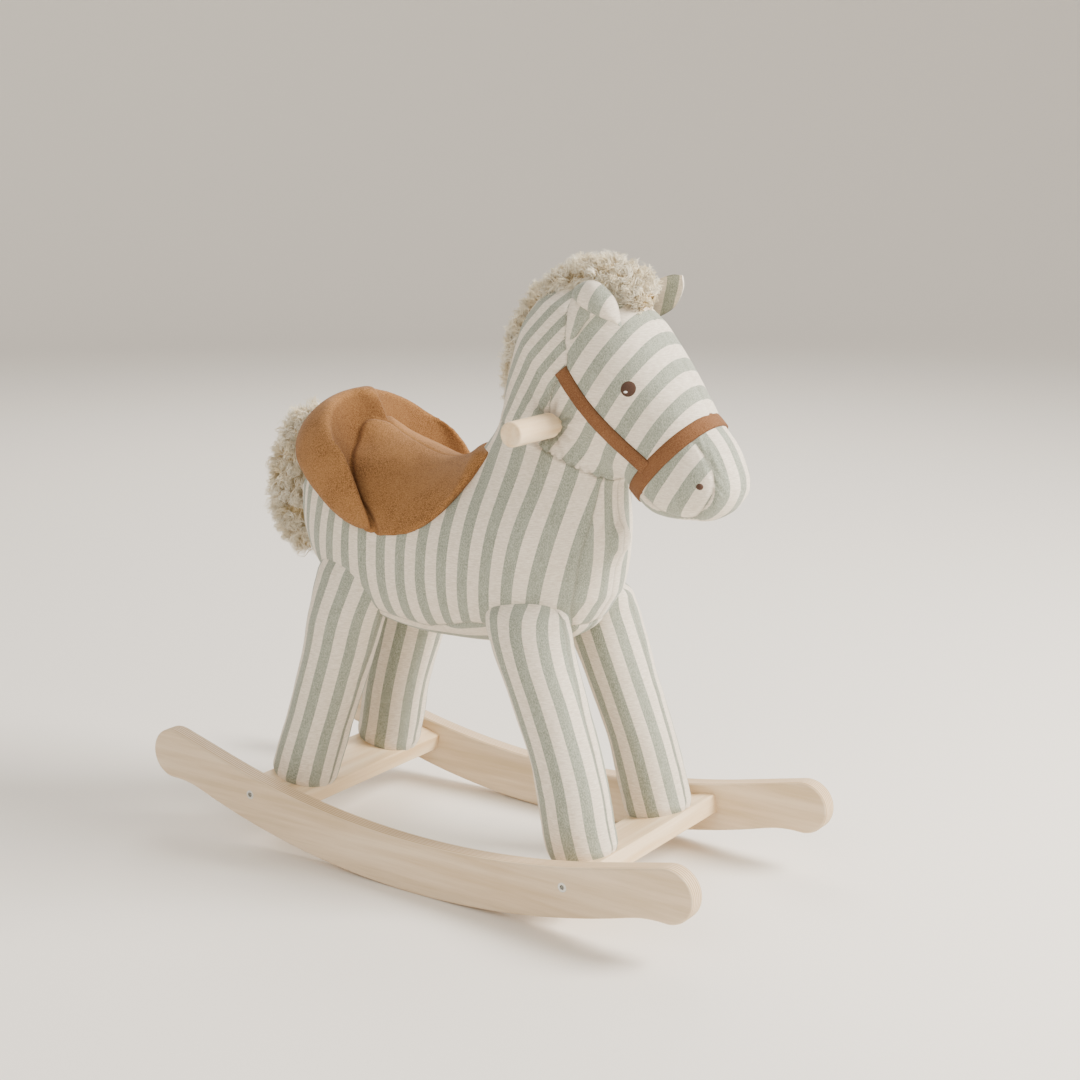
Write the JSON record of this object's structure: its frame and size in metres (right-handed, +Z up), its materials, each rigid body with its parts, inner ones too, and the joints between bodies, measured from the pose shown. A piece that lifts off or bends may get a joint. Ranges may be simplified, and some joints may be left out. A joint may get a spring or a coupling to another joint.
{
  "type": "plush rocking horse",
  "caption": "Stuffed striped-fabric rocking horse with a suede saddle, bridle and fur mane, standing on curved plywood rockers joined by crossbars.",
  "frame": {"origin": "bottom centre of the bounding box: on the floor, midway between the rockers and midway between their ends", "axes": "+X towards the nose, along the rockers; +Y to the horse's left, across the rockers; +Z up. The horse stands at its rest pose, nose down by 1.264 degrees."},
  "size_m": [0.6998, 0.3, 0.6571],
  "materials": {
    "birch_plywood": "satin",
    "solid_wood": "satin",
    "inner_wood": "matte",
    "steel": "satin",
    "striped_linen": "matte",
    "fibre_filling": "matte",
    "brown_suede": "matte",
    "strap_suede": "matte",
    "curly_plush": "matte",
    "brown_thread": "satin"
  },
  "bodies": {
    "root": {"barrel_nuts": "steel", "body_cover_left": "striped_linen", "body_cover_right": "striped_linen", "body_stuffing": "fibre_filling", "cheek_strap_left": "strap_suede", "cheek_strap_right": "strap_suede", "crossbar_dowels": "inner_wood", "crossbar_front": "solid_wood", "crossbar_rear": "solid_wood", "ear_left": "striped_linen", "ear_right": "striped_linen", "eye_left": "brown_thread", "eye_right": "brown_thread", "frame_screws": "steel", "handle_left": "solid_wood", "handle_right": "solid_wood", "handle_rod": "steel", "head_gusset": "striped_linen", "head_side_left": "striped_linen", "head_side_right": "striped_linen", "head_stuffing": "fibre_filling", "leg_bolts": "steel", "leg_cover_front_left": "striped_linen", "leg_cover_front_right": "striped_linen", "leg_cover_rear_left": "striped_linen", "leg_cover_rear_right": "striped_linen", "leg_inserts": "steel", "leg_post_front_left": "inner_wood", "leg_post_front_right": "inner_wood", "leg_post_rear_left": "inner_wood", "leg_post_rear_right": "inner_wood", "leg_stuffing_front_left": "fibre_filling", "leg_stuffing_front_right": "fibre_filling", "leg_stuffing_rear_left": "fibre_filling", "leg_stuffing_rear_right": "fibre_filling", "mane": "curly_plush", "neck_board": "inner_wood", "noseband": "strap_suede", "nostril_left": "brown_thread", "nostril_right": "brown_thread", "rocker_bolts": "steel", "rocker_left": "birch_plywood", "rocker_right": "birch_plywood", "saddle_cantle": "brown_suede", "saddle_seat": "brown_suede", "spine_board": "inner_wood", "tail": "curly_plush"}
  },
  "joints": []
}
